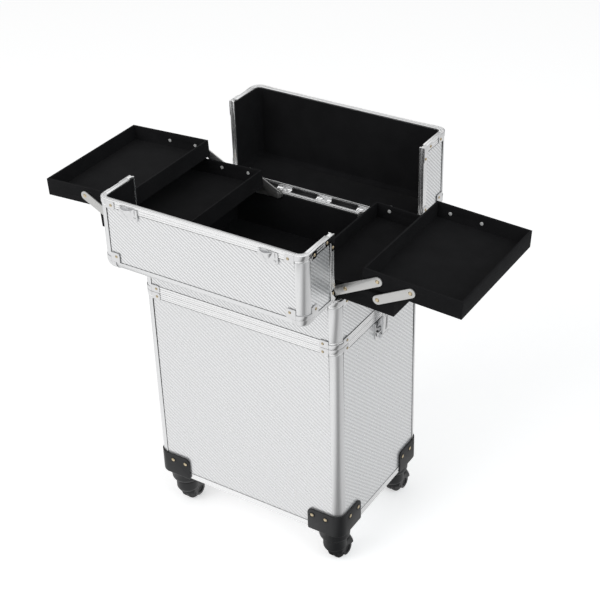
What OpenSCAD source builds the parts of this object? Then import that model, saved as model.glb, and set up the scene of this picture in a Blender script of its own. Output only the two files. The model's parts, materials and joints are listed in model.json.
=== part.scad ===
// Rolling makeup case: a trolley bin on swivel casters, a lift-off upper case with
// two butterfly lids, and four cantilever trays on riveted arms.
// The model rests with both lids open and the trays swung out.
// Millimetres, +Z up, front towards -Y, origin on the floor under the case centre.

/* [Case] */
// Outside width of the case
case_w = 340; // [320:2:380]
// Outside depth of the case
case_d = 242; // [230:2:270]
// Height from the floor to the bottom of the bin
floor_gap = 75; // [72:1:85]
// Height of the bin
bin_h = 346; // [280:2:400]
// Height of the upper base, from the parting line to its top rim
base_h = 79; // [70:1:100]
// Height of the closed lids above the base
lid_h = 75; // [70:1:95]
// Closed depth of the front lid, the rear lid takes the rest
front_lid_d = 114; // [105:1:125]
// Radius of the rounded edge extrusions
edge_r = 15; // [13:1:18]
// Gap between the standing upper base and the bin
rest_gap = 0.4; // [0.3:0.1:0.8]

/* [Walls] */
// Depth of the aluminium extrusions
frame_t = 6; // [5:0.5:7]
// How far the textured panels sit back from the extrusions
panel_inset = 1.2; // [0.6:0.1:1.6]
// Shadow gap around each panel
panel_seam = 0.5; // [0.3:0.1:0.8]
// Thickness of the felt lining
lining_t = 2; // [1:0.5:3]
// Height of the rim extrusions
rim_h = 10.5; // [9:0.5:14]
// Thickness of the rim's inner flange
flange_t = 2.5; // [2.2:0.1:4]
// Height of the bottom rails
rail_h = 10; // [8:0.5:14]
// Thickness of the bin floor board
floor_t = 4; // [3:0.5:6]

/* [Rim tongue] */
// Distance of the tongue from the outer face
tongue_inset = 2.2; // [1.8:0.1:2.6]
// Width of the tongue
tongue_w = 1.8; // [1.2:0.1:2.2]
// Height of the tongue
tongue_h = 1.2; // [0.8:0.1:1.5]
// Room around the tongue in its groove
tongue_clear = 0.4; // [0.3:0.05:0.6]

/* [Corner caps] */
// Sheet thickness of the caps
cap_t = 0.8; // [0.5:0.1:1.2]
// Height of the band round a corner
cap_band_h = 7; // [5:0.5:9]
// Length of a cap tab along the face
cap_tab_l = 15; // [13:0.5:17]
// Height of a cap tab
cap_tab_h = 12; // [10:0.5:14]
// Diameter of the rivet heads
rivet_d = 4.6; // [3.4:0.2:5]
// Height of the rivet heads
rivet_h = 1.3; // [0.8:0.1:1.8]

/* [Lid hinges] */
// Distance of the hinge axis outside the case face
hinge_out = 3; // [2.8:0.1:4]
// Distance of the hinge axis below the rim
hinge_drop = 2; // [1:0.25:2.5]
// Barrel diameter
barrel_d = 4.8; // [4:0.2:5.2]
// Hinge pin diameter
hinge_pin_d = 2; // [1.6:0.1:2.4]
// Length of one hinge
hinge_l = 24; // [20:1:30]
// Thickness of the hinge leaves
leaf_t = 1; // [0.8:0.1:1.4]
// Height of the hinge leaves beside the barrel
leaf_h = 10; // [7:0.5:12]
// Spacing of the hinges along the rim
hinge_pitch = 72; // [60:1:90]

/* [Trays] */
// Length of a tray from side to side
tray_l = 149.5; // [130:0.5:150]
// Height of a tray
tray_h = 27; // [24:0.5:30]
// Thickness of the tray walls
tray_wall = 3; // [2:0.5:4]
// Thickness of the tray floors
tray_floor = 3; // [2:0.5:4]
// Room for the arms between the lining and the trays
arm_room = 5.5; // [5:0.1:7]
// Height of a lower tray's rim above its pivots
lower_rise = 8; // [7:0.5:8.5]
// Height of an upper tray's rim above its pivots
upper_rise = 12.5; // [12:0.5:14]
// How far the middle of a tray lies outside its middle pivot
tray_shift = 0.5; // [0:0.1:1]

/* [Arms] */
// Pivot distance of an arm
arm_l = 56.5; // [54:0.5:57]
// Width of the arms
arm_w = 14; // [10:0.5:15]
// Thickness of the arms
arm_t = 2; // [1.5:0.1:2.2]
// Distance between neighbouring pivots
pivot_gap = 50; // [46:0.5:50]
// Distance of the outer base pivot from the end face
pivot_inset = 44; // [42:0.5:46]
// Depth of the outer base pivot below the rim
pivot_drop = 4.2; // [3:0.1:6]
// Slope of the arms with the trays out
arm_slope = 27.5; // [25:0.5:30]
// Outward droop of the trays
tray_droop = 3; // [0:0.5:3.5]
// Rivet shank diameter at the pivots
pivot_d = 4; // [3:0.2:5]
// Radial clearance of the pivots
pivot_clear = 0.06; // [0.02:0.01:0.1]

/* [Casters] */
// Distance of the swivel axis from the case faces
caster_inset = 28; // [27:1:32]
// Wheel diameter
wheel_d = 40; // [34:1:42]
// Width of one wheel
wheel_w = 8.5; // [7:0.5:10]
// Distance of the axle from the swivel axis
caster_trail = 11; // [8:0.5:13]
// Resting direction of the axles
caster_turn = 178; // [0:1:359]
// Axle diameter
axle_d = 5; // [4:0.5:6]
// Swivel stem diameter
stem_d = 8; // [7:0.5:10]
// Width of the wheel hood across its flat sides
hood_w = 33; // [30:0.5:36]
// Wall of the hood over the wheels
hood_t = 2.5; // [2:0.25:4]
// Radius of the swivel head under the collar
head_r = 18.5; // [17:0.5:20]
// Diameter of the hub bosses
hub_d = 23; // [20:1:26]

/* [Corner guards] */
// Length of a guard along each face
guard_l = 58; // [54:1:65]
// Height of a guard
guard_h = 38; // [32:1:45]
// Thickness of a guard
guard_t = 2; // [1.5:0.1:2.5]
// How far a guard reaches below the bin
guard_drop = 3; // [2.5:0.25:4]
// Diameter of the caster collar
collar_d = 49; // [46:1:52]
// Height of the caster collar
collar_h = 24; // [22:0.5:26]
// Radius of the collar's rounded lower edge
collar_round = 9; // [6:0.5:10]
// Radius of a guard's rounded lower edge
guard_edge = 3; // [1:0.25:3]
// Diameter of the guard rivets
guard_rivet_d = 6.8; // [4:0.2:8]

/* [Latches] */
// Width of a latch lever
latch_w = 16; // [12:1:20]
// Length of a side latch from pivot to hook
side_latch_l = 44; // [40:1:50]
// Angle by which the side latches rest clear of their strikes
latch_ajar = 3; // [3:0.5:6]
// Distance of the lid latches from the end faces
lid_latch_inset = 55; // [45:1:70]
// How far the lid latch hooks reach past the rim
lid_hook_reach = 9; // [7:0.5:10]
// Angle at which the lid latches stand open
lid_latch_open = 88; // [80:1:95]

/* [Handles] */
// Half the spacing of the pull handle tubes
tube_x = 56; // [50:1:62]
// Diameter of the pull handle tubes
tube_d = 10; // [8:0.5:11]
// Wall of the fixed sleeves
sleeve_wall = 2; // [1.5:0.25:2.5]
// Distance of the tube axes from the rear face
tube_out = 13; // [12.5:0.5:16]
// Height of the pull grip
grip_h = 18; // [14:1:20]
// Half the spacing of the carry handle pivots
carry_x = 48; // [42:1:55]
// Length of the carry handle from pivot to grip
carry_l = 38; // [32:1:42]

/* [Hidden] */
$fn = 48;

// Clearance between seated pieces of one body, and the joint between frame bars
seat = 0.1;
// Clearance between pieces that move past each other
play = 0.4;
// Overlap that makes two shapes one solid
bond = 0.5;

half_w = case_w / 2;
lid_latch_x = half_w - lid_latch_inset;
half_d = case_d / 2;
rear_lid_d = case_d - front_lid_d;
panel_t = frame_t - panel_inset - seat;
rim_w = frame_t + lining_t;
z_bin = floor_gap;
z_part = floor_gap + bin_h;
z_base = z_part + rest_gap;
z_rim = z_part + base_h;
rail_lip_t = 2;
rail_lip_w = 5;
groove_w = 0.6;
cap_corner = 3;
tab_rivet_l = 9.5;
tab_rivet_h = 6.6;

// Faces that the tray linkage runs between
lining_y = half_d - rim_w - seat;
tray_y = lining_y - arm_room;
arm_y = tray_y + play;

// Colours of the finishes
silver = "gainsboro";
satin = "lightgray";
shiny = "silver";
felt = [0.09, 0.09, 0.1];
plastic = [0.14, 0.14, 0.15];
brass = "burlywood";

// Turns X to Y, Y to Z and Z to X
module cycle(n) {
    if (n > 0) rotate([90, 0, 90]) cycle(n - 1) children();
    else children();
}

// A straight bar along X from a section whose x runs inwards (+Y) and y runs up
module bar(len) {
    rotate([90, 0, 90]) linear_extrude(len, center = true) children();
}

// The same section bent round a quarter turn of radius r
module bend(r) {
    rotate_extrude(angle = 90) translate([r, 0]) mirror([1, 0]) children();
}

// A quarter tube between two radii
module quarter_tube(r0, r1, len) {
    rotate_extrude(angle = 90) translate([r0, 0]) square([r1 - r0, len]);
}

// An eighth of a ball shell between two radii
module octant_shell(r0, r1) {
    intersection() {
        difference() {
            sphere(r1);
            sphere(r0);
        }
        cube(r1 + 1);
    }
}

// Children drawn at the four corners, their +X and +Y facing out
module each_corner(inset) {
    for (k = [0:3]) {
        along = k % 2 == 0 ? half_w : half_d;
        across = k % 2 == 0 ? half_d : half_w;
        rotate(90 * k) translate([along - inset, across - inset, 0]) children();
    }
}

// A frame of four bars and four bends round the case
module frame_loop() {
    for (k = [0:3]) {
        along = k % 2 == 0 ? case_w : case_d;
        across = k % 2 == 0 ? case_d : case_w;
        rotate(90 * k) translate([0, -across / 2, 0]) bar(along - 2 * edge_r - 2 * seat) children();
    }
    each_corner(edge_r) bend(edge_r) children();
}

// A flat plate with the case's rounded corners, set in from its faces
module case_plate(inset, h) {
    r = edge_r - inset;
    w = case_w - 2 * inset;
    d = case_d - 2 * inset;
    translate([-w / 2 + r, -d / 2, 0]) cube([w - 2 * r, d, h]);
    translate([-w / 2, -d / 2 + r, 0]) cube([w, d - 2 * r, h]);
    each_corner(edge_r) cylinder(r = r, h = h);
}

// Rim section: x inwards from the outer face, y away from the parting plane
module rim_section(tongue) {
    t0 = tongue_inset;
    t1 = tongue_inset + tongue_w;
    c = tongue_clear;
    seam_edge = tongue
        ? [[t0, 0], [t0, -tongue_h], [t1, -tongue_h], [t1, 0]]
        : [[t0 - c, 0], [t0 - c, tongue_h + c], [t1 + c, tongue_h + c], [t1 + c, 0]];
    ribs = [for (f = [0.68, 0.32], s = [1, 0, -1]) [s == 0 ? groove_w : 0, rim_h * f + s * groove_w]];
    polygon(concat([[0, 0]], seam_edge, [[rim_w, 0], [rim_w, flange_t], [frame_t, flange_t],
        [frame_t, rim_h], [0, rim_h]], ribs));
}

// Bottom rail section with a lip that carries the floor board
module rail_section() {
    polygon([[0, 0], [frame_t + rail_lip_w, 0], [frame_t + rail_lip_w, rail_lip_t],
        [frame_t, rail_lip_t], [frame_t, rail_h], [0, rail_h]]);
}

// Four wall boards between two heights
module wall_boards(z0, z1) {
    for (k = [0:3]) {
        along = k % 2 == 0 ? case_w : case_d;
        across = k % 2 == 0 ? case_d : case_w;
        len = along - 2 * edge_r - 2 * panel_seam;
        rotate(90 * k) translate([-len / 2, -across / 2 + panel_inset, z0 + panel_seam])
            cube([len, panel_t, z1 - z0 - 2 * panel_seam]);
    }
}

// An open felt box that lines the walls
module lining_box(z0, z1) {
    translate([0, 0, z0]) difference() {
        case_plate(frame_t + seat, z1 - z0);
        translate([0, 0, lining_t]) case_plate(rim_w + seat, z1 - z0);
    }
}

// A domed rivet head
module rivet(d = rivet_d) {
    r = d / 2;
    ball = (r * r + rivet_h * rivet_h) / (2 * rivet_h);
    rotate_extrude($fn = 24) intersection() {
        translate([0, rivet_h - ball]) circle(ball);
        square([r, rivet_h]);
    }
}

// Outline of a cap tab that starts at a corner and runs towards -x
module tab_outline(l, h) {
    c = cap_corner;
    translate([-l + c, 0]) square([l - c, h]);
    translate([-l, c]) square([l, h - 2 * c]);
    for (y = [c, h - c]) translate([-l + c, y]) circle(c);
}

// Outline with four round corners, standing on the x axis
module round_plate(w, h, r) {
    translate([-w / 2 + r, 0]) square([w - 2 * r, h]);
    translate([-w / 2, r]) square([w, h - 2 * r]);
    for (x = [-w / 2 + r, w / 2 - r], y = [r, h - r]) translate([x, y]) circle(r);
}

// A sheet on the +Y face at radius edge_r, drawn in x and z
module on_face() {
    translate([0, edge_r + seat + cap_t, 0]) rotate([90, 0, 0]) linear_extrude(cap_t) children();
}

// Rim cap for a corner facing +X and +Y, standing on the parting plane
module rim_cap() {
    translate([0, 0, seat]) {
        quarter_tube(edge_r + seat, edge_r + seat + cap_t, cap_band_h);
        for (m = [0, 1]) mirror([m, -m, 0]) translate([-seat, 0, 0]) on_face()
            tab_outline(cap_tab_l, cap_tab_h);
    }
}

module rim_cap_rivets() {
    for (m = [0, 1]) mirror([m, -m, 0])
        translate([-tab_rivet_l, edge_r + cap_t + 2 * seat, tab_rivet_h]) rotate([-90, 0, 0]) rivet();
}

// Three-way cap over a ball corner that faces +X, +Y and +Z
module ball_cap() {
    r0 = edge_r + seat;
    r1 = r0 + cap_t;
    octant_shell(r0, r1);
    for (n = [0:2]) cycle(n) {
        translate([0, 0, -cap_band_h - seat]) quarter_tube(r0, r1, cap_band_h);
        translate([-seat, r0 + cap_t, -seat]) rotate([90, 0, 0]) linear_extrude(cap_t) {
            translate([-cap_tab_l + cap_corner, -cap_tab_l]) square([cap_tab_l - cap_corner, cap_tab_l]);
            translate([-cap_tab_l, -cap_tab_l + cap_corner]) square([cap_tab_l, cap_tab_l - cap_corner]);
            translate([-cap_tab_l + cap_corner, -cap_tab_l + cap_corner]) circle(cap_corner);
        }
    }
}

module ball_cap_rivets() {
    for (n = [0:2]) cycle(n) translate([-tab_rivet_l, edge_r + cap_t + 2 * seat, -tab_rivet_l])
        rotate([-90, 0, 0]) rivet();
}

// Trolley bin

module lower_panels() {
    color(silver) {
        wall_boards(z_bin + rail_h, z_part - rim_h);
        translate([0, 0, z_bin + rail_lip_t + seat]) case_plate(frame_t + seat, floor_t);
    }
}

module lower_lining() {
    color(felt) lining_box(z_bin + rail_lip_t + floor_t + 2 * seat, z_part - flange_t - seat);
}

// Rounded posts between two heights
module posts(z0, z1) {
    translate([0, 0, z0 + seat]) each_corner(edge_r)
        quarter_tube(edge_r - frame_t, edge_r, z1 - z0 - 2 * seat);
}

module lower_corner_posts() {
    color(satin) posts(z_bin + rail_h, z_part - rim_h);
}

module lower_rims() {
    color(satin) {
        translate([0, 0, z_part]) mirror([0, 0, 1]) frame_loop() rim_section(true);
        translate([0, 0, z_bin]) frame_loop() rail_section();
    }
}

module lower_rim_caps() {
    color(shiny) translate([0, 0, z_part]) mirror([0, 0, 1]) each_corner(edge_r) rim_cap();
}

guard_r = edge_r + seat + guard_t;
guard_run = guard_l - edge_r;
guard_round = 8;
guard_foot_round = 5;
guard_tall = guard_h + guard_drop;
guard_rivets = [guard_run - 8, guard_run - 32];
guard_rivet_z = 27;
collar_place = edge_r - caster_inset;

// Section of a guard: x inwards from the outer face, y up from its foot
module guard_section() {
    e = guard_edge;
    intersection() {
        union() {
            square([guard_t, guard_tall]);
            square([guard_r - bond, guard_drop - seat]);
        }
        union() {
            translate([e, 0]) square([guard_r, guard_tall]);
            translate([0, e]) square([guard_r, guard_tall]);
            translate([e, e]) circle(e);
        }
    }
}

// Outline of a guard's side, with its free corners rounded
module guard_outline() {
    r = guard_round;
    f = guard_foot_round;
    translate([-guard_run + r, 0]) square([guard_run - r, guard_tall]);
    translate([-guard_run, f]) square([guard_run, guard_tall - f - r]);
    translate([-guard_run + f, 0]) square([guard_run - f, guard_tall - r]);
    translate([-guard_run + r, guard_tall - r]) circle(r);
    translate([-guard_run + f, f]) circle(f);
}

// Side of a guard along the face, from the end of the bend
module guard_side() {
    intersection() {
        translate([-guard_run / 2, guard_r, -guard_drop]) mirror([0, 1, 0]) bar(guard_run) guard_section();
        translate([0, guard_r + bond, -guard_drop]) rotate([90, 0, 0]) linear_extrude(guard_r + 2 * bond)
            guard_outline();
    }
}

// Plate under the corner that carries the caster collar
module guard_foot() {
    run = guard_run - guard_round;
    translate([-run, -run, -guard_drop]) cube([run + 2 * bond, run + 2 * bond, guard_drop - seat]);
}

// Bowl that the caster stem turns in, its foot at the origin
module caster_collar() {
    r = collar_d / 2;
    c = collar_round;
    rotate_extrude() {
        square([r - c, collar_h + bond]);
        translate([0, c]) square([r, collar_h - c + bond]);
        translate([r - c, c]) circle(c);
    }
}

module caster_guards() {
    color(plastic) translate([0, 0, z_bin]) each_corner(edge_r) difference() {
        union() {
            translate([0, 0, -guard_drop]) bend(guard_r) guard_section();
            guard_side();
            mirror([1, -1, 0]) guard_side();
            guard_foot();
            translate([collar_place, collar_place, -guard_drop - collar_h]) caster_collar();
        }
        translate([collar_place, collar_place, -guard_drop - collar_h - 1])
            cylinder(d = stem_d + 2 * pivot_clear, h = collar_h + guard_drop + 2);
    }
}

module lower_rivets() {
    color(brass) {
        translate([0, 0, z_part]) mirror([0, 0, 1]) each_corner(edge_r) rim_cap_rivets();
        translate([0, 0, z_bin + guard_rivet_z]) each_corner(edge_r) for (m = [0, 1], x = guard_rivets)
            mirror([m, -m, 0]) translate([-x, guard_r + seat, 0]) rotate([-90, 0, 0]) rivet(guard_rivet_d);
    }
}

// Side latches: a plate with ears on the bin, a strike on the base and a hooked lever

latch_pin_d = 3;
latch_pin_x = 4.6;
latch_t = 2.4;
ear_t = 2;
ear_r = 3.6;
strike_z = 6;
strike_t = 2.2;
strike_reach = 3.4;
strike_edge = 2;
hook_t = 2.4;
hook_grip = 2;
plate_t = 1.4;
plate_foot = 7;
plate_round = 6;
latch_plate_w = 32;
latch_plate_top = -rim_h - 2;
plate_rivet_in = 4.5;
plate_rivet_drop = 12;
rib_w = 3.6;
rib_t = 1.6;
tab_w = latch_w - 2 * rib_w - 2 * play;
tab_l = 14;
tab_t = 2;
tab_flare = 12;
latch_pin_z = strike_z + strike_t + play - side_latch_l;

// Children drawn on the right side and mirrored to the left
module both_sides() {
    for (s = [0, 1]) mirror([s, 0, 0]) children();
}

module side_latch_plates() {
    bottom = latch_pin_z - plate_foot;
    color(shiny) both_sides() translate([half_w - panel_inset + seat, 0, z_part]) {
        translate([0, 0, bottom]) rotate([90, 0, 90]) linear_extrude(plate_t)
            round_plate(latch_plate_w, latch_plate_top - bottom, plate_round);
        for (s = [-1, 1]) translate([0, s * (latch_w / 2 + play + ear_t / 2) - ear_t / 2, latch_pin_z]) {
            translate([plate_t - bond, 0, -ear_r])
                cube([latch_pin_x + panel_inset - plate_t + bond, ear_t, 2 * ear_r]);
            translate([latch_pin_x + panel_inset, 0, 0]) rotate([-90, 0, 0]) cylinder(r = ear_r, h = ear_t);
        }
        translate([latch_pin_x + panel_inset, 0, latch_pin_z]) rotate([90, 0, 0])
            cylinder(d = latch_pin_d, h = latch_w + 2 * play + 2 * ear_t, center = true);
        for (s = [-1, 1])
            translate([plate_t, s * (latch_plate_w / 2 - plate_rivet_in), latch_plate_top - plate_rivet_drop])
            rotate([0, 90, 0]) rivet();
    }
}

module side_latch_strikes() {
    color(shiny) both_sides() translate([half_w + seat, -latch_w / 2, z_part]) {
        translate([0, 0, rest_gap + 1]) cube([1, latch_w, rim_h - 2]);
        translate([0, strike_edge, strike_z]) cube([strike_reach, latch_w - 2 * strike_edge, strike_t]);
    }
}

// Lever with its hook, two ribs and a thumb tab, its pivot on the Y axis at the origin
module hooked_lever(reach, drop, t) {
    rib_l = reach - ear_r;
    difference() {
        union() {
            rotate([90, 0, 0]) cylinder(r = ear_r - play, h = latch_w, center = true);
            translate([0, -latch_w / 2, 0]) cube([t, latch_w, reach + hook_t]);
            translate([-drop, -latch_w / 2, reach]) cube([drop + bond, latch_w, hook_t]);
            for (e = [-1, 1]) translate([t - bond, e * (latch_w - rib_w) / 2 - rib_w / 2, ear_r])
                cube([rib_t + bond, rib_w, rib_l]);
            translate([t - bond, -tab_w / 2, reach - tab_l + tab_t]) rotate([0, tab_flare, 0])
                cube([tab_t + bond, tab_w, tab_l]);
        }
        rotate([90, 0, 0]) cylinder(r = latch_pin_d / 2 + pivot_clear, h = latch_w + 2, center = true);
    }
}

module side_latch_lever() {
    translate([half_w + latch_pin_x + seat, 0, z_part + latch_pin_z]) rotate([0, latch_ajar, 0])
        hooked_lever(side_latch_l, latch_pin_x - strike_reach + hook_grip, latch_t);
}

module side_latch_left() {
    color(shiny) mirror([1, 0, 0]) side_latch_lever();
}

module side_latch_right() {
    color(shiny) side_latch_lever();
}

// Pull handle on the rear of the bin

sleeve_r = tube_d / 2 + 0.1 + sleeve_wall;
bracket_h = 20;
bracket_floor = 4;
bracket_w = 2 * tube_x + 2 * sleeve_r + 8;
sleeve_top = z_part - rim_h - 4;
sleeve_rise = 36;
sleeve_bottom = z_bin + rail_h + sleeve_rise;
tube_y = half_d + tube_out;

// A bracket that holds both sleeves to the rear face
module sleeve_bracket() {
    d = tube_out + panel_inset - seat;
    translate([-bracket_w / 2 + sleeve_r, half_d - panel_inset + seat, 0])
        cube([bracket_w - 2 * sleeve_r, d, bracket_h]);
    translate([-bracket_w / 2 + sleeve_r, tube_y - bond, 0])
        cube([bracket_w - 2 * sleeve_r, sleeve_r + bond, bracket_h]);
    for (s = [-1, 1]) translate([s * (bracket_w / 2 - sleeve_r), tube_y, 0])
        cylinder(r = sleeve_r, h = bracket_h);
}

module handle_sleeves() {
    tubes_z = sleeve_bottom + bracket_h + seat;
    color(plastic) difference() {
        union() {
            translate([0, 0, sleeve_top - bracket_h]) sleeve_bracket();
            translate([0, 0, sleeve_bottom]) sleeve_bracket();
            for (s = [-1, 1]) translate([s * tube_x, tube_y, tubes_z])
                cylinder(r = sleeve_r, h = sleeve_top - bracket_h - seat - tubes_z);
        }
        for (s = [-1, 1]) translate([s * tube_x, tube_y, sleeve_bottom + bracket_floor])
            cylinder(r = tube_d / 2 + pivot_clear, h = sleeve_top - sleeve_bottom);
    }
}

grip_lift = 6;
tube_foot = sleeve_bottom + bracket_floor + 2;
grip_d = 13;
finger_x = 14;
finger_r = 5;

module handle_tubes() {
    color(shiny) for (s = [-1, 1]) translate([s * tube_x, tube_y, tube_foot])
        cylinder(d = tube_d, h = sleeve_top + grip_lift - tube_foot - seat);
}

module pull_grip() {
    color(plastic) translate([0, tube_y, sleeve_top + grip_lift]) {
        for (s = [-1, 1]) translate([s * tube_x, 0, 0]) cylinder(d = grip_d, h = grip_h);
        difference() {
            translate([-tube_x, -grip_d / 2, 0]) cube([2 * tube_x, grip_d, grip_h]);
            translate([0, 0, -1]) for (s = [-1, 1]) translate([s * finger_x, 0, 0]) rotate([90, 0, 0])
                cylinder(r = finger_r, h = grip_d + 2, center = true);
        }
    }
}

// Casters

fork_top = z_bin - guard_drop - collar_h - play;
wheel_r = wheel_d / 2;
wheel_split = 0.6;
wheel_gap = 1;
well_r = wheel_r + wheel_gap;
well_w = 2 * wheel_w + wheel_split + 2 * play;
hood_r = well_r + hood_t;
hood_low = wheel_r + 1;
head_low = 24.5;
head_round = 8;
head_edge = 2;
hub_recess = 1.2;
hub_rim = 5;
tread_round = 2.5;

// Children drawn at the caster for the given side signs, turned to rest
module at_caster(sx, sy) {
    translate([sx * (half_w - caster_inset), sy * (half_d - caster_inset), 0])
        rotate(caster_turn) children();
}

// Children drawn at the middle of the axle, with their z along it
module on_axle() {
    translate([0, -caster_trail, wheel_r]) rotate([0, 90, 0]) children();
}

// Ball-shaped hood with flat sides over the upper half of the wheels, and round bosses at the hubs
module caster_hood() {
    translate([0, -caster_trail, 0]) intersection() {
        translate([0, 0, wheel_r]) sphere(hood_r);
        translate([-hood_w / 2, -hood_r, hood_low]) cube([hood_w, 2 * hood_r, 2 * hood_r]);
    }
    on_axle() cylinder(d = hub_d, h = hood_w, center = true);
}

// Bell under the collar that turns into the hood
module caster_head() {
    top = fork_top - head_edge;
    rotate_extrude() {
        translate([0, head_low]) square([head_r - head_round, fork_top - head_low]);
        translate([0, head_low + head_round]) square([head_r, top - head_low - head_round]);
        translate([0, top - bond]) square([head_r - head_edge, head_edge + bond]);
        translate([head_r - head_round, head_low + head_round]) circle(head_round);
        translate([head_r - head_edge, top]) circle(head_edge);
    }
}

// Swivel fork with its stem, its axle along X and its trail towards -Y
module caster_fork() {
    color(plastic) difference() {
        union() {
            translate([0, 0, fork_top - bond]) cylinder(d = stem_d, h = collar_h + bond);
            caster_head();
            caster_hood();
        }
        on_axle() cylinder(r = well_r, h = well_w, center = true);
        on_axle() cylinder(r = axle_d / 2 + pivot_clear, h = 2 * hood_w, center = true);
        for (s = [-1, 1]) on_axle() translate([0, 0, s * hood_w / 2])
            cylinder(d = hub_d - 2 * hub_rim, h = 2 * hub_recess, center = true);
    }
}

// Half of a wheel's section, from its inner face to its rounded tread
module wheel_section() {
    r = tread_round;
    square([wheel_r - r, wheel_w]);
    translate([0, r]) square([wheel_r, wheel_w - 2 * r]);
    for (y = [r, wheel_w - r]) translate([wheel_r - r, y]) circle(r);
}

// Two wheels on their axle, along X
module caster_wheels() {
    color(plastic) on_axle() {
        for (s = [0, 1]) mirror([0, 0, s]) translate([0, 0, wheel_split / 2])
            rotate_extrude() wheel_section();
        cylinder(d = axle_d, h = hood_w - 2 * hub_recess, center = true);
    }
}

module caster_fork_fl() { at_caster(-1, -1) caster_fork(); }
module caster_fork_fr() { at_caster(1, -1) caster_fork(); }
module caster_fork_rl() { at_caster(-1, 1) caster_fork(); }
module caster_fork_rr() { at_caster(1, 1) caster_fork(); }
module caster_wheels_fl() { at_caster(-1, -1) caster_wheels(); }
module caster_wheels_fr() { at_caster(1, -1) caster_wheels(); }
module caster_wheels_rl() { at_caster(-1, 1) caster_wheels(); }
module caster_wheels_rr() { at_caster(1, 1) caster_wheels(); }

// Upper base

module base_panels() {
    color(silver) {
        wall_boards(z_base + rim_h, z_rim - rim_h);
        translate([0, 0, z_base + flange_t + seat]) case_plate(frame_t + seat, floor_t);
    }
}

module base_lining() {
    color(felt) lining_box(z_base + flange_t + floor_t + 2 * seat, z_rim - flange_t - seat);
}

module base_corner_posts() {
    color(satin) posts(z_base + rim_h, z_rim - rim_h);
}

module base_rims() {
    color(satin) {
        translate([0, 0, z_base]) frame_loop() rim_section(false);
        translate([0, 0, z_rim]) mirror([0, 0, 1]) frame_loop() rim_section(true);
    }
}

module base_rim_caps() {
    color(shiny) {
        translate([0, 0, z_base]) each_corner(edge_r) rim_cap();
        translate([0, 0, z_rim]) mirror([0, 0, 1]) each_corner(edge_r) rim_cap();
    }
}

module base_rivets() {
    color(brass) {
        translate([0, 0, z_base]) each_corner(edge_r) rim_cap_rivets();
        translate([0, 0, z_rim]) mirror([0, 0, 1]) each_corner(edge_r) rim_cap_rivets();
    }
}

// Hinges: the base leaf carries the pin and the outer barrels, the lid leaf the middle one

barrel_third = hinge_l / 3;

module each_hinge() {
    for (x = [-hinge_pitch, 0, hinge_pitch]) translate([x, 0, 0]) children();
}

// Base leaf on a face towards +Y, its axis on the X axis at the origin
module base_leaf() {
    for (s = [-1, 1]) translate([s * barrel_third, 0, 0]) {
        rotate([0, 90, 0]) cylinder(d = barrel_d, h = barrel_third - seat, center = true);
        translate([-(barrel_third - seat) / 2, -hinge_out + seat, -barrel_d])
            cube([barrel_third - seat, leaf_t, barrel_d]);
    }
    translate([-hinge_l / 2, -hinge_out + seat, -barrel_d - leaf_h]) cube([hinge_l, leaf_t, leaf_h + bond]);
    rotate([0, 90, 0]) cylinder(d = hinge_pin_d, h = hinge_l, center = true);
}

// Lid leaf on the same face above the axis
module lid_leaf() {
    len = barrel_third - 2 * seat - play;
    difference() {
        union() {
            rotate([0, 90, 0]) cylinder(d = barrel_d, h = len, center = true);
            translate([-len / 2, -hinge_out + seat, 0]) cube([len, leaf_t, barrel_d]);
            translate([-hinge_l / 2, -hinge_out + seat, barrel_d - bond]) cube([hinge_l, leaf_t, leaf_h]);
        }
        rotate([0, 90, 0]) cylinder(d = hinge_pin_d + 2 * pivot_clear, h = hinge_l, center = true);
    }
}

module base_hinge_leaves() {
    color(shiny) for (m = [0, 1]) mirror([0, m, 0])
        translate([0, half_d + hinge_out, z_rim - hinge_drop]) each_hinge() base_leaf();
}

// Lids: drawn closed, with y inwards from the hinge face and z up from the rim, then opened

module open_lid(side) {
    translate([0, side * (half_d + hinge_out), z_rim - hinge_drop]) rotate([-90 * side, 0, 0])
        translate([0, -side * hinge_out, hinge_drop]) mirror([0, side > 0 ? 1 : 0, 0]) children();
}

module lid_panels(depth) {
    side_z = rim_h + panel_seam;
    side_h = lid_h - edge_r - rim_h - 2 * panel_seam;
    deep = depth - edge_r - rim_h - 2 * panel_seam;
    wide = case_w - 2 * edge_r - 2 * panel_seam;
    color(silver) {
        translate([-wide / 2, edge_r + panel_seam, lid_h - panel_inset - panel_t])
            cube([wide, deep, panel_t]);
        translate([-wide / 2, panel_inset, side_z]) cube([wide, panel_t, side_h]);
        both_sides() translate([half_w - panel_inset - panel_t, edge_r + panel_seam, side_z])
            cube([panel_t, deep, side_h]);
    }
}

// Quarter tubes along the rounded edges of a lid and ball shells at their corners
module lid_edges(r0, r1, z0, far) {
    translate([-half_w + edge_r + seat, edge_r, lid_h - edge_r]) rotate([180, 0, 0]) rotate([0, 90, 0])
        quarter_tube(r0, r1, case_w - 2 * edge_r - 2 * seat);
    both_sides() {
        translate([half_w - edge_r, edge_r, z0 + seat]) rotate(-90)
            quarter_tube(r0, r1, lid_h - edge_r - z0 - 2 * seat);
        translate([half_w - edge_r, far - seat, lid_h - edge_r]) rotate([90, 0, 0])
            quarter_tube(r0, r1, far - edge_r - 2 * seat);
        translate([half_w - edge_r, edge_r, lid_h - edge_r]) rotate(-90) octant_shell(r0, r1);
    }
}

module lid_rails(depth) {
    color(satin) lid_edges(edge_r - frame_t, edge_r, rim_h, depth - rim_h);
}

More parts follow.
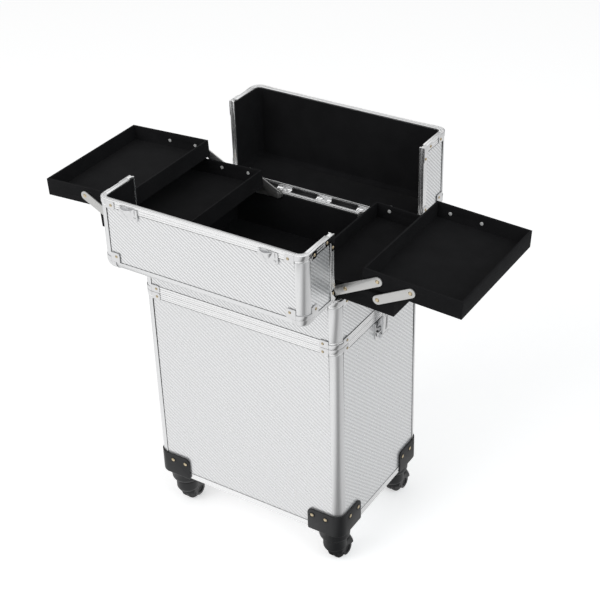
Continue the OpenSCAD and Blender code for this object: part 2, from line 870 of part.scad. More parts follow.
module lid_lining(depth) {
    r1 = edge_r - frame_t - seat;
    r0 = r1 - lining_t;
    in0 = frame_t + seat;
    wide = case_w - 2 * edge_r - 2 * seat;
    far = depth - flange_t - seat;
    deep = far - edge_r - 2 * seat;
    z0 = flange_t + seat;
    tall = lid_h - edge_r - z0 - 2 * seat;
    color(felt) {
        lid_edges(r0, r1, z0, far);
        translate([-wide / 2, edge_r + seat, lid_h - in0 - lining_t]) cube([wide, deep, lining_t]);
        translate([-wide / 2, in0, z0 + seat]) cube([wide, lining_t, tall]);
        both_sides() translate([half_w - in0 - lining_t, edge_r + seat, z0 + seat])
            cube([lining_t, deep, tall]);
    }
}

module lid_rim(depth, tongue) {
    wide = case_w - 2 * edge_r - 2 * seat;
    color(satin) {
        bar(wide) rim_section(false);
        translate([0, depth, lid_h]) mirror([0, 1, 0]) rotate([-90, 0, 0]) bar(wide) rim_section(tongue);
        both_sides() {
            translate([half_w - edge_r, edge_r, 0]) rotate(-90) bend(edge_r) rim_section(false);
            translate([half_w, (depth + edge_r + seat) / 2, 0]) rotate(90) bar(depth - edge_r - seat)
                rim_section(false);
            translate([half_w - edge_r, depth, lid_h - edge_r]) rotate([90, 0, 0]) bend(edge_r)
                rim_section(tongue);
            translate([half_w, depth, rim_h + seat]) linear_extrude(lid_h - edge_r - rim_h - 2 * seat)
                rotate(180) rim_section(tongue);
        }
    }
}

bracket_leg = 24;
bracket_band = 9;

// Children drawn where the caps of a lid's right end stand
module at_hinge_corner() {
    translate([half_w - edge_r, edge_r, 0]) rotate(-90) children();
}

module at_split_corner(depth) {
    translate([half_w - edge_r, depth, lid_h - edge_r]) rotate([90, 0, 0]) children();
}

module at_ball_corner() {
    translate([half_w - edge_r, edge_r, lid_h - edge_r]) rotate(-90) children();
}

// Flat bracket over the free corner of an end wall
module end_bracket(depth) {
    b = bracket_band;
    l = bracket_leg;
    translate([half_w + seat, depth - seat, seat]) rotate([90, 0, 90]) linear_extrude(cap_t)
        polygon([[0, 0], [0, l], [-b, l], [-b, b + 2], [-b - 2, b], [-l, b], [-l, 0]]);
}

module lid_caps(depth) {
    color(shiny) both_sides() {
        at_hinge_corner() rim_cap();
        at_split_corner(depth) rim_cap();
        at_ball_corner() ball_cap();
        end_bracket(depth);
    }
}

module lid_rivets(depth) {
    color(brass) both_sides() {
        at_hinge_corner() rim_cap_rivets();
        at_split_corner(depth) rim_cap_rivets();
        at_ball_corner() ball_cap_rivets();
        for (p = [[bracket_leg - 5, bracket_band / 2], [bracket_band / 2, bracket_leg - 5]])
            translate([half_w + cap_t + 2 * seat, depth - p[0], p[1]]) rotate([0, 90, 0]) rivet();
    }
}

module lid_hinge_leaves() {
    color(shiny) translate([0, -hinge_out, -hinge_drop]) mirror([0, 1, 0]) each_hinge() lid_leaf();
}

module front_lid_panels() { open_lid(-1) lid_panels(front_lid_d); }
module front_lid_lining() { open_lid(-1) lid_lining(front_lid_d); }
module front_lid_rails() { open_lid(-1) lid_rails(front_lid_d); }
module front_lid_rim() { open_lid(-1) lid_rim(front_lid_d, true); }
module front_lid_caps() { open_lid(-1) lid_caps(front_lid_d); }
module front_lid_rivets() { open_lid(-1) lid_rivets(front_lid_d); }
module front_lid_hinge_leaves() { open_lid(-1) lid_hinge_leaves(); }
module rear_lid_panels() { open_lid(1) lid_panels(rear_lid_d); }
module rear_lid_lining() { open_lid(1) lid_lining(rear_lid_d); }
module rear_lid_rails() { open_lid(1) lid_rails(rear_lid_d); }
module rear_lid_rim() { open_lid(1) lid_rim(rear_lid_d, false); }
module rear_lid_caps() { open_lid(1) lid_caps(rear_lid_d); }
module rear_lid_rivets() { open_lid(1) lid_rivets(rear_lid_d); }
module rear_lid_hinge_leaves() { open_lid(1) lid_hinge_leaves(); }

// Catches on the front lid: a riveted plate with a raised scoop

catch_w = 31;
catch_l = 17;
catch_edge = 3;
catch_round = 9;
scoop_sink = 5;
scoop_r = 12;
scoop_l = 13;
scoop_t = 1.2;
scoop_x = -3;
ridge_l = 8;
ridge_t = 1.2;

// Plate outline towards -y from the origin, with one large round corner
module catch_outline() {
    r = catch_round;
    translate([-catch_w / 2 + r, -catch_l]) square([catch_w - r, catch_l]);
    translate([-catch_w / 2, -catch_l + r]) square([catch_w, catch_l - r]);
    translate([-catch_w / 2 + r, -catch_l + r]) circle(r);
}

// Flat cone whose axis lies under the plate, open and widest towards the split
module catch_scoop() {
    difference() {
        translate([0, 0, -scoop_sink]) rotate([-90, 0, 0])
            cylinder(r1 = scoop_sink + bond, r2 = scoop_r, h = scoop_l);
        translate([0, scoop_t, -scoop_sink]) rotate([-90, 0, 0])
            cylinder(r1 = scoop_sink + bond - scoop_t, r2 = scoop_r - scoop_t, h = scoop_l);
        translate([-scoop_r, -1, -2 * scoop_r]) cube([2 * scoop_r, scoop_l + 2, 2 * scoop_r]);
    }
}

module lid_catch() {
    side = catch_w / 2 - plate_rivet_in;
    linear_extrude(plate_t) catch_outline();
    translate([scoop_x, -scoop_l - scoop_t, plate_t - seat]) catch_scoop();
    translate([side, -catch_l + plate_rivet_in, plate_t - seat]) rivet();
    translate([side - ridge_t / 2, -ridge_l, plate_t - seat]) cube([ridge_t, ridge_l - ridge_t, ridge_t]);
}

module front_lid_catches() {
    color(shiny) open_lid(-1) for (s = [-1, 1])
        translate([s * lid_latch_x, front_lid_d - catch_edge, lid_h + seat]) lid_catch();
}

// Latches on the rear lid

lid_latch_l = 34;
lid_pin_y = rear_lid_d + lid_hook_reach - lid_latch_l;
lid_plate_side = 5;
lid_plate_gap = 1;
lid_hook_gap = 1.5;
lid_plate_w = latch_w + 2 * lid_plate_side;
lid_plate_l = rear_lid_d - rim_h - lid_pin_y + plate_foot - lid_plate_gap;
lid_hook_drop = latch_pin_x - lid_hook_gap;

module lid_latch_plates() {
    color(shiny) open_lid(1) for (s = [-1, 1])
        translate([s * lid_latch_x, lid_pin_y, lid_h - panel_inset + seat]) {
        translate([0, -plate_foot, 0]) linear_extrude(plate_t)
            round_plate(lid_plate_w, lid_plate_l, cap_corner);
        for (e = [-1, 1])
            translate([e * (latch_w / 2 + play + ear_t / 2) - ear_t / 2, -ear_r, plate_t - bond]) {
            cube([ear_t, 2 * ear_r, latch_pin_x + panel_inset - plate_t + bond]);
            translate([0, ear_r, latch_pin_x + panel_inset - plate_t + bond]) rotate([0, 90, 0])
                cylinder(r = ear_r, h = ear_t);
        }
        translate([0, 0, latch_pin_x + panel_inset]) rotate([0, 90, 0])
            cylinder(d = latch_pin_d, h = latch_w + 2 * play + 2 * ear_t, center = true);
    }
}

module lid_latch(s) {
    color(shiny) open_lid(1) translate([s * lid_latch_x, lid_pin_y, lid_h + latch_pin_x + seat])
        rotate([lid_latch_open - 90, 0, 0]) rotate(-90)
        hooked_lever(lid_latch_l - hook_t, lid_hook_drop, latch_t);
}

module lid_latch_left() { lid_latch(-1); }
module lid_latch_right() { lid_latch(1); }

// Carry handle on the top of the rear lid

carry_pin_d = 5;
carry_pin_z = 8;
carry_inset = 48;
carry_y = rear_lid_d - carry_inset;
carry_arm_w = 9;
carry_arm_t = 9;
carry_grip_d = 15;
carry_base_t = 4;
carry_mount_w = 14;
carry_mount_l = 18;
carry_boss_r = 6;

// Two screwed mounts, each with a pin towards the middle
module carry_handle_mounts() {
    rise = carry_pin_z + panel_inset;
    color(plastic) open_lid(1) both_sides()
        translate([carry_x + carry_arm_w / 2 + play, carry_y, lid_h - panel_inset + seat]) {
            translate([0, -carry_mount_l / 2, 0]) cube([carry_mount_w, carry_mount_l, carry_base_t]);
            translate([0, -carry_boss_r, carry_base_t - bond])
                cube([carry_mount_w, 2 * carry_boss_r, rise - carry_base_t + bond]);
            translate([0, 0, rise]) rotate([0, 90, 0]) cylinder(r = carry_boss_r, h = carry_mount_w);
            translate([-carry_arm_w - play, 0, rise]) rotate([0, 90, 0])
                cylinder(d = carry_pin_d, h = carry_arm_w + play + bond);
        }
}

// Lies flat on the closed lid, its grip towards the hinge face
module carry_handle() {
    color(plastic) open_lid(1) translate([0, carry_y, lid_h + carry_pin_z + seat]) difference() {
        union() {
            for (s = [-1, 1]) translate([s * carry_x, 0, 0]) {
                rotate([0, 90, 0]) cylinder(r = carry_boss_r - bond, h = carry_arm_w, center = true);
                translate([-carry_arm_w / 2, -carry_l, -carry_arm_t / 2])
                    cube([carry_arm_w, carry_l, carry_arm_t]);
            }
            translate([0, -carry_l, 0]) rotate([0, 90, 0])
                cylinder(d = carry_grip_d, h = 2 * carry_x + carry_arm_w, center = true);
        }
        for (s = [-1, 1]) translate([s * carry_x, 0, 0]) rotate([0, 90, 0])
            cylinder(r = carry_pin_d / 2 + pivot_clear, h = 2 * carry_arm_w, center = true);
    }
}

// Cantilever trays: pivots of the right side in x and z, the left side is mirrored

function turned(v, a) = [v[0] * cos(a) - v[1] * sin(a), v[0] * sin(a) + v[1] * cos(a)];

pivot_step = turned([pivot_gap, 0], -tray_droop);
arm_step = turned([arm_l, 0], arm_slope);
point_a = [half_w - pivot_inset, z_rim - pivot_drop];
point_a_in = point_a - pivot_step;
point_b = point_a + arm_step;
point_b_in = point_a_in + arm_step;
point_c = point_b + arm_step;
point_d = point_b + pivot_step;
point_e = point_d + arm_step;

// Open tray around its middle pivot, with bores at the given pivots
module tray(middle, rise, bores) {
    difference() {
        translate([middle[0], 0, middle[1]]) rotate([0, tray_droop, 0])
            translate([tray_shift - tray_l / 2, -tray_y, rise - tray_h])
            difference() {
                cube([tray_l, 2 * tray_y, tray_h]);
                translate([tray_wall, tray_wall, tray_floor])
                    cube([tray_l - 2 * tray_wall, 2 * tray_y - 2 * tray_wall, tray_h]);
            }
        for (p = bores) translate([p[0], 0, p[1]]) rotate([90, 0, 0])
            cylinder(r = pivot_d / 2 + pivot_clear, h = 2 * tray_y + 2, center = true);
    }
}

module lower_tray() {
    color(felt) tray(point_b, lower_rise, [point_b_in, point_b, point_d]);
}

module upper_tray() {
    color(felt) tray(point_e, upper_rise, [point_c, point_e]);
}

module right_lower_tray() { lower_tray(); }
module right_upper_tray() { upper_tray(); }
module left_lower_tray() { mirror([1, 0, 0]) lower_tray(); }
module left_upper_tray() { mirror([1, 0, 0]) upper_tray(); }

head_d = 6.6;
head_t = 1;
head_face_d = 4;
clinch_d = 5.3;

// Rivet through a tray wall, along +Y from the arm's outer face at the origin
module tray_rivet() {
    translate([0, -head_t, 0]) rotate([-90, 0, 0])
        cylinder(d1 = head_face_d, d2 = head_d, h = head_t + seat);
    rotate([-90, 0, 0]) cylinder(d = pivot_d, h = arm_t + play + tray_wall + play + head_t);
    translate([0, arm_t + 2 * play + tray_wall, 0]) rotate([-90, 0, 0])
        cylinder(d = clinch_d, h = head_t);
}

// Rivet from the arm outwards into its pivot plate, with a low head towards the tray
module base_rivet() {
    translate([0, -plate_gap - pivot_plate_t, 0]) rotate([-90, 0, 0])
        cylinder(d = pivot_d, h = plate_gap + pivot_plate_t + bond);
    translate([0, arm_t - seat, 0]) rotate([-90, 0, 0]) cylinder(d = head_d, h = play);
}

plate_gap = play + head_t;
pivot_plate_t = lining_y - arm_y - arm_t - plate_gap;

// Flat arm from one pivot towards another, on the front side
module arm(from, to) {
    d = to - from;
    translate([from[0], -arm_y - arm_t, from[1]]) rotate([0, -atan2(d[1], d[0]), 0]) {
        translate([0, 0, -arm_w / 2]) cube([norm(d), arm_t, arm_w]);
        for (x = [0, norm(d)]) translate([x, 0, 0]) rotate([-90, 0, 0]) cylinder(d = arm_w, h = arm_t);
    }
}

// Children drawn at a pivot on the front side, y from the arm's outer face
module at_pivot(p) {
    translate([p[0], -arm_y - arm_t, p[1]]) children();
}

module front_and_rear() {
    for (m = [0, 1]) mirror([0, m, 0]) children();
}

module long_arms() {
    color(shiny) front_and_rear() {
        arm(point_a, point_c);
        at_pivot(point_a) base_rivet();
        at_pivot(point_b) tray_rivet();
        at_pivot(point_c) tray_rivet();
    }
}

module base_arms() {
    color(shiny) front_and_rear() {
        arm(point_a_in, point_b_in);
        at_pivot(point_a_in) base_rivet();
        at_pivot(point_b_in) tray_rivet();
    }
}

module link_arms() {
    color(shiny) front_and_rear() {
        arm(point_d, point_e);
        at_pivot(point_d) tray_rivet();
        at_pivot(point_e) tray_rivet();
    }
}

module right_long_arms() { long_arms(); }
module right_base_arms() { base_arms(); }
module right_link_arms() { link_arms(); }
module left_long_arms() { mirror([1, 0, 0]) long_arms(); }
module left_base_arms() { mirror([1, 0, 0]) base_arms(); }
module left_link_arms() { mirror([1, 0, 0]) link_arms(); }

pivot_plate_h = 16;

// Steel strips on the base walls that hold the lower ends of the arms
module tray_pivot_plates() {
    d = point_a - point_a_in;
    color(shiny) both_sides() front_and_rear() translate([point_a_in[0], -lining_y + seat, point_a_in[1]])
        rotate([0, -atan2(d[1], d[0]), 0]) difference() {
            union() {
                translate([0, 0, -pivot_plate_h / 2])
                    cube([pivot_gap, pivot_plate_t - seat, pivot_plate_h]);
                for (x = [0, pivot_gap]) translate([x, 0, 0]) rotate([-90, 0, 0])
                    cylinder(d = pivot_plate_h, h = pivot_plate_t - seat);
            }
            for (x = [0, pivot_gap]) translate([x, -1, 0]) rotate([-90, 0, 0])
                cylinder(r = pivot_d / 2 + pivot_clear, h = pivot_plate_t + 2);
        }
}

lower_panels();
lower_lining();
lower_corner_posts();
lower_rims();
lower_rim_caps();
caster_guards();
lower_rivets();
side_latch_plates();
handle_sleeves();
caster_fork_fl();
caster_fork_fr();
caster_fork_rl();
caster_fork_rr();
caster_wheels_fl();
caster_wheels_fr();
caster_wheels_rl();
caster_wheels_rr();
handle_tubes();
pull_grip();
side_latch_left();
side_latch_right();
base_panels();
base_lining();
base_corner_posts();
base_rims();
base_rim_caps();
base_rivets();
base_hinge_leaves();
side_latch_strikes();
tray_pivot_plates();
front_lid_panels();
front_lid_lining();
front_lid_rails();
front_lid_rim();
front_lid_caps();
front_lid_rivets();
front_lid_catches();
front_lid_hinge_leaves();
rear_lid_panels();
rear_lid_lining();
rear_lid_rails();
rear_lid_rim();
rear_lid_caps();
rear_lid_rivets();
rear_lid_hinge_leaves();
lid_latch_plates();
carry_handle_mounts();
lid_latch_left();
lid_latch_right();
carry_handle();
left_lower_tray();
left_upper_tray();
right_lower_tray();
right_upper_tray();
left_long_arms();
left_base_arms();
left_link_arms();
right_long_arms();
right_base_arms();
right_link_arms();
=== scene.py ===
import json
import math

import bmesh
import bpy
from mathutils import Matrix, Vector


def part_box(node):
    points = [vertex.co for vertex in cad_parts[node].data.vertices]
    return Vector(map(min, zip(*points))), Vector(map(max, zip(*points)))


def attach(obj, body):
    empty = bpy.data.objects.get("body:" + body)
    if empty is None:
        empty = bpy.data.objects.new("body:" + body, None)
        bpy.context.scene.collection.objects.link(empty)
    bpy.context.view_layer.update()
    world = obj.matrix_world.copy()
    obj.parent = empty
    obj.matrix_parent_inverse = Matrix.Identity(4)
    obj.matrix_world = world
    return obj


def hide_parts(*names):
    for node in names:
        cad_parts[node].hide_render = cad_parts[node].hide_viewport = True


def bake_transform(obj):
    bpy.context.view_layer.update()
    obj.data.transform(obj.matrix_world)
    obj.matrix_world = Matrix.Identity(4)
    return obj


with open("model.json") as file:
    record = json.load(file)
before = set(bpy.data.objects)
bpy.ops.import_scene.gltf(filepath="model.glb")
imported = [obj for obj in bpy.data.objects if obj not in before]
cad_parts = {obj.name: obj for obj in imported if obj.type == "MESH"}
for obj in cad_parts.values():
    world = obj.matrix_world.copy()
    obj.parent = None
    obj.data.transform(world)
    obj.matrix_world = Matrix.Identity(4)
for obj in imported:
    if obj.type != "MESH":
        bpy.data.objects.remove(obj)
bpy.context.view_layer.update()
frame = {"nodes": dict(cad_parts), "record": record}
scene = bpy.context.scene
scene.view_settings.view_transform = "Standard"


# camera at the photographed angle

cameraView = {
    "place": (1.0039, -1.4896, 1.5374),
    "right": (0.8464, 0.5319, -0.0275),
    "up": (-0.2678, 0.4696, 0.8413),
    "lens": 84.0,
    "sensor": 36.0,
}


def makeCamera():
    data = bpy.data.cameras.new("photoCamera")
    data.lens = cameraView["lens"]
    data.sensor_width = cameraView["sensor"]
    camera = bpy.data.objects.new("photoCamera", data)
    scene.collection.objects.link(camera)
    right = Vector(cameraView["right"]).normalized()
    up = Vector(cameraView["up"])
    up = (up - right * up.dot(right)).normalized()
    back = right.cross(up)
    turn = Matrix((right, up, back)).transposed().to_4x4()
    camera.matrix_world = Matrix.Translation(cameraView["place"]) @ turn
    scene.camera = camera


makeCamera()
print("camera set")


# small helpers for node trees

def newFinish(name):
    finish = bpy.data.materials.new(name)
    finish.use_nodes = True
    tree = finish.node_tree
    tree.nodes.clear()
    out = tree.nodes.new("ShaderNodeOutputMaterial")
    shader = tree.nodes.new("ShaderNodeBsdfPrincipled")
    tree.links.new(shader.outputs["BSDF"], out.inputs["Surface"])
    return finish, tree, shader


def addNode(tree, kind, values=None, **settings):
    node = tree.nodes.new(kind)
    for key, value in settings.items():
        setattr(node, key, value)
    for key, value in (values or {}).items():
        node.inputs[key].default_value = value
    return node


def maths(tree, operation, first, second):
    node = addNode(tree, "ShaderNodeMath", operation=operation)
    for socket, value in zip(node.inputs, (first, second)):
        if isinstance(value, (int, float)):
            socket.default_value = value
        else:
            tree.links.new(value, socket)
    return node.outputs[0]


def objectPlace(tree, turn=(0, 0, 0), scale=(1, 1, 1)):
    coords = addNode(tree, "ShaderNodeTexCoord")
    mapping = addNode(tree, "ShaderNodeMapping", {"Rotation": turn, "Scale": scale})
    tree.links.new(coords.outputs["Object"], mapping.inputs["Vector"])
    return mapping.outputs["Vector"]


def noise(tree, place, scale, detail=3.0, rough=0.55):
    node = addNode(tree, "ShaderNodeTexNoise", {"Scale": scale, "Detail": detail, "Roughness": rough})
    tree.links.new(place, node.inputs["Vector"])
    return node.outputs["Fac"]


def remap(tree, value, low, high, toLow, toHigh):
    node = addNode(tree, "ShaderNodeMapRange", {1: low, 2: high, 3: toLow, 4: toHigh})
    tree.links.new(value, node.inputs[0])
    return node.outputs[0]


def blendColour(tree, factor, first, second):
    node = addNode(tree, "ShaderNodeMix", data_type="RGBA")
    node.inputs[6].default_value = (*first, 1)
    node.inputs[7].default_value = (*second, 1)
    tree.links.new(factor, node.inputs[0])
    return node.outputs[2]


def addBump(tree, shader, height, strength, distance):
    bump = addNode(tree, "ShaderNodeBump", {"Strength": strength, "Distance": distance})
    tree.links.new(height, bump.inputs["Height"])
    tree.links.new(bump.outputs["Normal"], shader.inputs["Normal"])


# finishes

# the groove colour is painted into the hollows between the ribs, a painted shade
panelFinish = {
    "base": (0.95, 0.952, 0.956),
    "groove": (0.62, 0.624, 0.632),
    "ribs": (118, 165, 172),  # per metre along each axis
    "rough": 0.28,
    "metal": 0.6,
    "depth": 0.00012,
}
binFinish = {
    "base": (0.89, 0.892, 0.896),
    "groove": (0.685, 0.689, 0.697),
    "ribs": (98, 137, 143),
    "rough": 0.28,
    "metal": 0.6,
    "depth": 0.00002,
}


# silver sheet with fine slanting ribs, the grooves between them painted darker as painted shade
def ribbedSilver(name, look):
    finish, tree, shader = newFinish(name)
    coords = addNode(tree, "ShaderNodeTexCoord")
    count = addNode(tree, "ShaderNodeVectorMath", {1: look["ribs"]}, operation="DOT_PRODUCT")
    tree.links.new(coords.outputs["Object"], count.inputs[0])
    wave = maths(tree, "SINE", maths(tree, "MULTIPLY", count.outputs["Value"], math.tau), 0)
    rib = remap(tree, wave, -1, 1, 0, 1)
    cloud = noise(tree, objectPlace(tree), 60)
    shade = maths(tree, "MULTIPLY", rib, remap(tree, cloud, 0.3, 0.7, 0.94, 1.0))
    # the darker groove colour is painted shade in the ribs' hollows, not a tint of the metal
    tree.links.new(blendColour(tree, shade, look["groove"], look["base"]), shader.inputs["Base Color"])
    tree.links.new(remap(tree, cloud, 0.3, 0.7, look["rough"] - 0.03, look["rough"] + 0.03),
                   shader.inputs["Roughness"])
    addBump(tree, shader, rib, 0.7, look["depth"])
    shader.inputs["Metallic"].default_value = look["metal"]
    return finish


frameFinish = {"base": (0.94, 0.942, 0.946), "dull": (0.91, 0.912, 0.916), "rough": 0.22}
postFinish = {"base": (0.83, 0.834, 0.84), "dull": (0.8, 0.804, 0.81), "rough": 0.32}


# satin extrusion with faint drawing lines along its length
def satinAluminium(name, look, stretch):
    finish, tree, shader = newFinish(name)
    lines = noise(tree, objectPlace(tree, scale=stretch), 1.0, 3.0)
    tree.links.new(blendColour(tree, lines, look["dull"], look["base"]), shader.inputs["Base Color"])
    tree.links.new(remap(tree, lines, 0.25, 0.75, look["rough"] - 0.015, look["rough"] + 0.015),
                   shader.inputs["Roughness"])
    shader.inputs["Metallic"].default_value = 0.9
    return finish


plateFinish = {"base": (0.8, 0.803, 0.81), "smear": (0.68, 0.683, 0.69)}


# bright plated sheet with faint handling marks
def platedSheet():
    finish, tree, shader = newFinish("platedSheet")
    marks = noise(tree, objectPlace(tree), 180, 5.0, 0.6)
    colour = blendColour(tree, marks, plateFinish["smear"], plateFinish["base"])
    tree.links.new(colour, shader.inputs["Base Color"])
    tree.links.new(remap(tree, marks, 0.3, 0.7, 0.04, 0.11), shader.inputs["Roughness"])
    shader.inputs["Metallic"].default_value = 1.0
    return finish


# turned rivet heads
def rivetMetal(name, dark, light, metal):
    finish, tree, shader = newFinish(name)
    marks = noise(tree, objectPlace(tree), 900, 3.0)
    tree.links.new(blendColour(tree, marks, dark, light), shader.inputs["Base Color"])
    tree.links.new(remap(tree, marks, 0.3, 0.7, 0.14, 0.28), shader.inputs["Roughness"])
    shader.inputs["Metallic"].default_value = metal
    return finish


# steel arms brushed along their length, which slopes one way on each side
def brushedSteel(name, slope):
    finish, tree, shader = newFinish(name)
    place = objectPlace(tree, turn=(0, math.radians(slope), 0), scale=(25, 300, 1500))
    lines = noise(tree, place, 1.0, 3.0)
    colour = blendColour(tree, lines, (0.54, 0.538, 0.53), (0.62, 0.617, 0.608))
    tree.links.new(colour, shader.inputs["Base Color"])
    tree.links.new(remap(tree, lines, 0.25, 0.75, 0.26, 0.4), shader.inputs["Roughness"])
    addBump(tree, shader, lines, 0.08, 0.0002)
    shader.inputs["Metallic"].default_value = 0.85
    return finish


feltFinish = {"deep": (0.004, 0.004, 0.0045), "nap": (0.016, 0.016, 0.017)}
# paler felt for the top edges of the tray walls, a painted highlight
edgeHighlightFinish = {"deep": (0.03, 0.03, 0.031), "nap": (0.11, 0.11, 0.113)}


# short black felt with a soft nap
def blackFelt(name, look):
    finish, tree, shader = newFinish(name)
    nap = noise(tree, objectPlace(tree), 1400, 4.0, 0.65)
    cloud = noise(tree, objectPlace(tree), 35, 3.0)
    shade = maths(tree, "MULTIPLY", nap, remap(tree, cloud, 0.3, 0.7, 0.75, 1.25))
    tree.links.new(blendColour(tree, shade, look["deep"], look["nap"]), shader.inputs["Base Color"])
    addBump(tree, shader, nap, 0.35, 0.0006)
    shader.inputs["Roughness"].default_value = 0.95
    shader.inputs["Specular IOR Level"].default_value = 0.12
    shader.inputs["Sheen Weight"].default_value = 0.03
    shader.inputs["Sheen Roughness"].default_value = 0.4
    return finish


# moulded black plastic with a fine grain
def mouldedPlastic(name, dark, light, rough):
    finish, tree, shader = newFinish(name)
    grain = noise(tree, objectPlace(tree), 1100, 3.0)
    tree.links.new(blendColour(tree, grain, dark, light), shader.inputs["Base Color"])
    tree.links.new(remap(tree, grain, 0.3, 0.7, rough - 0.06, rough + 0.08), shader.inputs["Roughness"])
    addBump(tree, shader, grain, 0.12, 0.0004)
    shader.inputs["Specular IOR Level"].default_value = 0.4
    return finish


finishes = {
    "panel": ribbedSilver("ribbedSilver", panelFinish),
    "binPanel": ribbedSilver("binSilver", binFinish),
    "frame": satinAluminium("satinFrame", frameFinish, (12, 12, 400)),
    "post": satinAluminium("satinPost", postFinish, (400, 400, 12)),
    "chrome": platedSheet(),
    "brass": rivetMetal("rivetBrass", (0.5, 0.4, 0.25), (0.74, 0.64, 0.46), 1.0),
    "steelLeft": brushedSteel("brushedSteelLeft", -27.5),
    "steelRight": brushedSteel("brushedSteelRight", 27.5),
    "felt": blackFelt("blackFelt", feltFinish),
    "paintedEdgeHighlight": blackFelt("paintedEdgeHighlight", edgeHighlightFinish),
    "nickel": rivetMetal("rivetNickel", (0.72, 0.72, 0.71), (0.9, 0.9, 0.89), 0.35),
    "plastic": mouldedPlastic("mouldedPlastic", (0.006, 0.0065, 0.0075), (0.012, 0.0125, 0.014), 0.4),
    "wheel": mouldedPlastic("wheelTread", (0.005, 0.005, 0.0055), (0.009, 0.009, 0.01), 0.5),
    # the dark seam strips round the panels: a painted shadow
    "seamShadow": mouldedPlastic("paintedSeamShadow", (0.003, 0.003, 0.0035), (0.006, 0.006, 0.007), 0.7),
}

slotOf = {row["node"]: row["material_slot"] for row in frame["record"]["subparts"]}
bodyOf = {node: body for body, nodes in frame["record"]["behaviour"]["bodies"].items() for node in nodes}


def finishFor(node):
    slot = slotOf[node]
    if node == "lower_panels":
        return finishes["binPanel"]
    if node.endswith(("_corner_posts", "_rails")):
        return finishes["post"]
    if slot == "steel":
        return finishes["steelLeft" if node.startswith("left") else "steelRight"]
    return finishes[slot]


# pieces whose sharp edges are eased: width of the easing by slot, and the sharpest edge that stays

easing = {
    "widths": {"frame": 0.0005, "chrome": 0.00025, "steel": 0.0004,
               "plastic": 0.0008, "wheel": 0.0005, "felt": 0.0011},
    "segments": {"felt": 3},
    "angle": math.radians(32),
}


def linkPiece(name, mesh):
    piece = bpy.data.objects.new(name, mesh)
    scene.collection.objects.link(piece)
    return piece


# merged copy of a node's mesh, with its flat faces joined
def mergedMesh(node, name):
    mesh = frame["nodes"][node].data.copy()
    mesh.name = name
    shape = bmesh.new()
    shape.from_mesh(mesh)
    bmesh.ops.remove_doubles(shape, verts=shape.verts, dist=2e-6)
    bmesh.ops.dissolve_limit(shape, angle_limit=math.radians(0.6), verts=shape.verts, edges=shape.edges)
    for face in shape.faces:
        face.smooth = True
    shape.to_mesh(mesh)
    shape.free()
    mesh.materials.clear()
    return mesh


# copy of a node with eased edges that stands for it
def easedCopy(node):
    slot = slotOf[node]
    piece = linkPiece(node + "_eased", mergedMesh(node, node + "_eased"))
    piece.data.materials.append(finishFor(node))
    ease = piece.modifiers.new("ease", "BEVEL")
    ease.width = easing["widths"][slot]
    ease.segments = easing["segments"].get(slot, 2)
    ease.limit_method = "ANGLE"
    ease.angle_limit = easing["angle"]
    ease.harden_normals = True
    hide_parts(node)
    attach(piece, bodyOf[node])
    return piece


# rivet heads stand proud of the arm's outer face and inside the tray walls
armLayers = {"outerFace": 0.10985, "trayInside": 0.1045}


def tintArmRivets(piece):
    piece.data.materials.append(finishes["brass"])
    piece.data.materials.append(finishes["nickel"])
    for face in piece.data.polygons:
        reach = abs(face.center.y)
        if reach > armLayers["outerFace"]:
            face.material_index = 1
        elif reach < armLayers["trayInside"]:
            face.material_index = 2


# the tops of a tray's walls get a paler felt: a painted highlight where the edges catch light
def paintTrayEdgeHighlight(piece):
    piece.data.materials.append(finishes["paintedEdgeHighlight"])
    upward = [face for face in piece.data.polygons if face.normal.z > 0.95]
    top = max(face.center.dot(face.normal) for face in upward)
    for face in upward:
        if face.center.dot(face.normal) > top - 0.001:
            face.material_index = 1


def dressNodes():
    for node, cad in frame["nodes"].items():
        cad.data.materials.clear()
        cad.data.materials.append(finishFor(node))
        if slotOf[node] in easing["widths"]:
            piece = easedCopy(node)
            if node.endswith("_arms"):
                tintArmRivets(piece)
            elif node.endswith("_tray"):
                paintTrayEdgeHighlight(piece)


dressNodes()
print("frame dressed")


# boxes of the separate solids in a node
def solidBoxes(node):
    shape = bmesh.new()
    shape.from_mesh(frame["nodes"][node].data)
    bmesh.ops.remove_doubles(shape, verts=shape.verts, dist=2e-6)
    left = set(shape.verts)
    boxes = []
    while left:
        stack = [left.pop()]
        points = []
        while stack:
            vert = stack.pop()
            points.append(vert.co.copy())
            for edge in vert.link_edges:
                other = edge.other_vert(vert)
                if other in left:
                    left.remove(other)
                    stack.append(other)
        low = Vector([min(point[k] for point in points) for k in range(3)])
        high = Vector([max(point[k] for point in points) for k in range(3)])
        boxes.append((low, high))
    shape.free()
    return sorted(boxes, key=lambda pair: tuple(round(value, 5) for value in (*pair[0], *pair[1])))


# turn that takes +Z to an axis-parallel direction
def turnTo(direction):
    return Vector((0, 0, 1)).rotation_difference(direction).to_matrix().to_4x4()


# axis across a thin box, pointing away from the middle of the node
def outward(low, high, middle):
    size = high - low
    axis = min(range(3), key=lambda k: size[k])
    direction = Vector((0, 0, 0))
    direction[axis] = 1 if (low + high)[axis] / 2 > middle[axis] else -1
    return axis, direction


def finishPiece(shape, name, body, finish):
    bmesh.ops.remove_doubles(shape, verts=shape.verts, dist=1e-6)
    bmesh.ops.recalc_face_normals(shape, faces=shape.faces)
    mesh = bpy.data.meshes.new(name)
    shape.to_mesh(mesh)
    shape.free()
    mesh.materials.append(finish)
    piece = linkPiece(name, mesh)
    if body:
        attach(piece, body)
    return piece


# add a finished bmesh to another one
def joinInto(shape, part):
    scrap = bpy.data.meshes.new("scrap")
    part.to_mesh(scrap)
    part.free()
    shape.from_mesh(scrap)
    bpy.data.meshes.remove(scrap)


